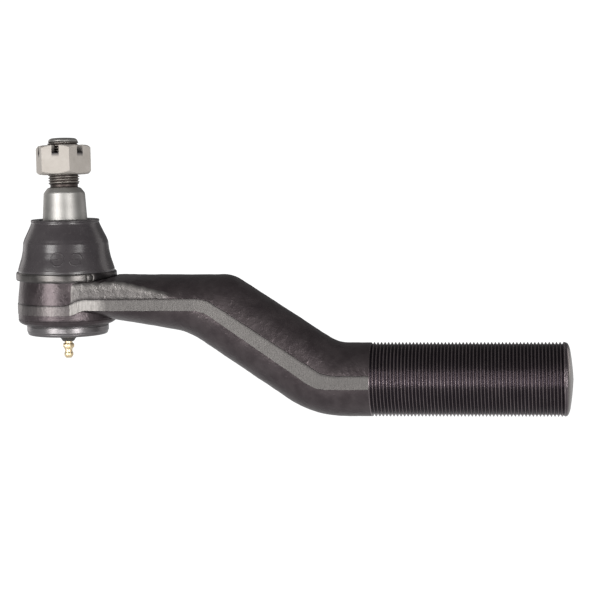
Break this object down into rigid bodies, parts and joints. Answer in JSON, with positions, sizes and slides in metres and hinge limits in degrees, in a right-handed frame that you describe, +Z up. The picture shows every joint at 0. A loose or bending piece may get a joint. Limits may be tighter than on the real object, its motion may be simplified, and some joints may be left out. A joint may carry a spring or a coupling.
{
  "type": "tie rod end",
  "caption": "Tie rod end with a forged socket and cranked arm, a threaded shank, a tapered ball stud with a slotted nut, a dust boot and a grease fitting.",
  "frame": {"origin": "centre of the ball, which the stud turns about", "axes": "+Z up the socket's axis towards the stud's end, +X from the socket along the shank, +Y to the far side of the arm's plane"},
  "size_m": [0.3353, 0.061, 0.1691],
  "materials": {
    "forging": "satin dark coat over a forged skin, with a lighter sheared strip along the parting line",
    "stud_steel": "fine ground steel",
    "nut_plating": "matt pale plating",
    "seat_plastic": "moulded acetal",
    "plain_steel": "bright steel",
    "cover_paint": "satin dark coat",
    "seal_rubber": "moulded rubber",
    "fitting_plating": "pale yellow plating",
    "boot_rubber": "moulded rubber, satin",
    "ring_paint": "dark coat, glossier than the forging"
  },
  "bodies": {
    "housing": {"housing": "forging", "upper_bearing": "seat_plastic", "lower_bearing": "seat_plastic", "thrust_washer": "plain_steel", "preload_spring": "plain_steel", "cover_plate": "cover_paint", "cover_seal": "seal_rubber", "grease_fitting": "fitting_plating", "fitting_spring": "plain_steel", "boot_base_ring": "ring_paint"},
    "boot": {"dust_boot": "boot_rubber"},
    "collar": {"boot_bushing": "seat_plastic", "boot_lip_ring": "ring_paint"},
    "stud": {"ball_stud": "stud_steel"},
    "nut": {"slotted_nut": "nut_plating"},
    "check_ball": {"fitting_ball": "plain_steel"}
  },
  "joints": [
    {"name": "tilt_side", "type": "hinge", "parent": "housing", "child": "boot", "pos_m": [0, 0, 0], "axis": [0, 1, 0], "range_deg": [-14, 16], "deforming": ["dust_boot"]},
    {"name": "tilt_fore", "type": "hinge", "parent": "boot", "child": "collar", "pos_m": [0, 0, 0], "axis": [1, 0, 0], "range_deg": [-11.5, 18.5], "deforming": ["dust_boot"]},
    {"name": "stud_spin", "type": "hinge", "parent": "collar", "child": "stud", "pos_m": [0, 0, 0], "axis": [-0.0174, 0.061, 0.998], "continuous": true},
    {"name": "nut_travel", "type": "slide", "parent": "stud", "child": "nut", "axis": [-0.0174, 0.061, 0.998], "range_m": [-0.0058, 0.023]},
    {"name": "valve_lift", "type": "slide", "parent": "housing", "child": "check_ball", "axis": [0, 0, 1], "range_m": [0, 0.001], "stiffness_N_per_m": 400, "deforming": ["fitting_spring"]}
  ]
}
